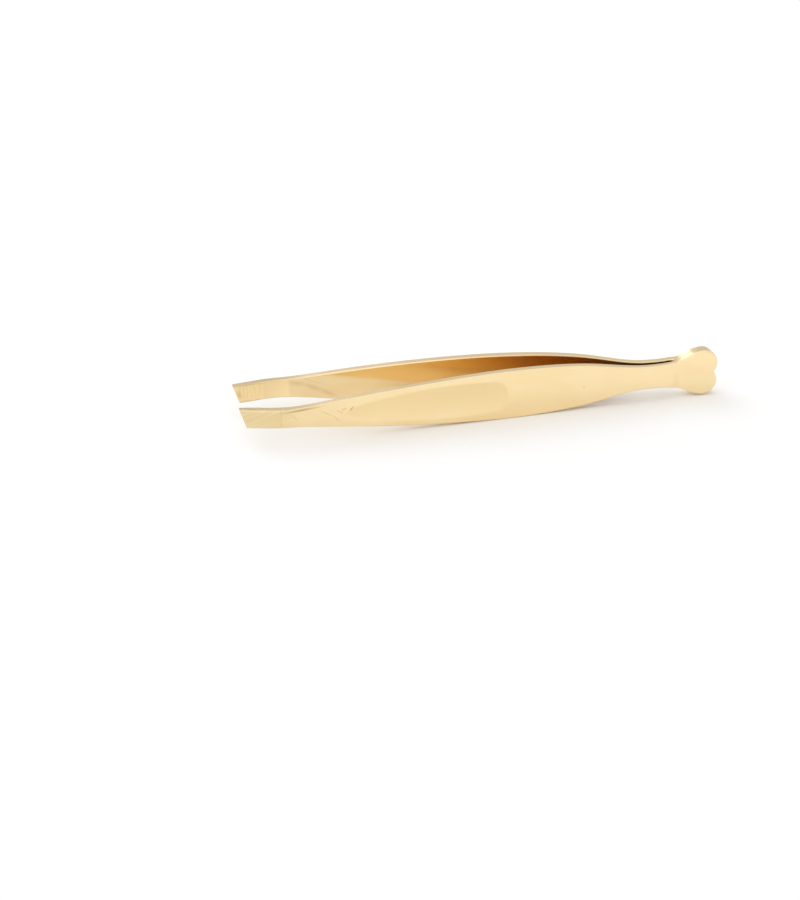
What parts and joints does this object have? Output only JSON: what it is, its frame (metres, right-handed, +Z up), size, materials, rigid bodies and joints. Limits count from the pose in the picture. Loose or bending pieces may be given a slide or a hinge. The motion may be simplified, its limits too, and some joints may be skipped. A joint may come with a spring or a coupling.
{
  "type": "slant tweezers",
  "caption": "Slant tweezers with two bowed spring arms welded at a two-lobed tail, finger dishes and inward-bent tips cut on a slant.",
  "frame": {"origin": "under the middle of the tweezers, on the surface that they lie on", "axes": "+X from the tips to the tail, -Y towards the front arm, +Z up; the tweezers lie on the lower edges of both arms"},
  "size_m": [0.095, 0.016, 0.0098],
  "materials": {
    "gold_plate": "mirror-polished gold plating on stainless steel"
  },
  "bodies": {
    "tail": {"front_arm_tail": "gold_plate", "back_arm_tail": "gold_plate", "tail_weld": "gold_plate"},
    "front_blade": {"front_arm_blade": "gold_plate"},
    "back_blade": {"back_arm_blade": "gold_plate"}
  },
  "joints": [
    {"name": "front_arm_flex", "type": "hinge", "parent": "tail", "child": "front_blade", "pos_m": [0.02948, -0.00087, 0.0049], "axis": [0, 0, -1], "range_deg": [0, 3.82], "stiffness_Nm_per_rad": 3},
    {"name": "back_arm_flex", "type": "hinge", "parent": "tail", "child": "back_blade", "pos_m": [0.02948, 0.00087, 0.0049], "axis": [0, 0, 1], "range_deg": [0, 3.82], "stiffness_Nm_per_rad": 3}
  ]
}
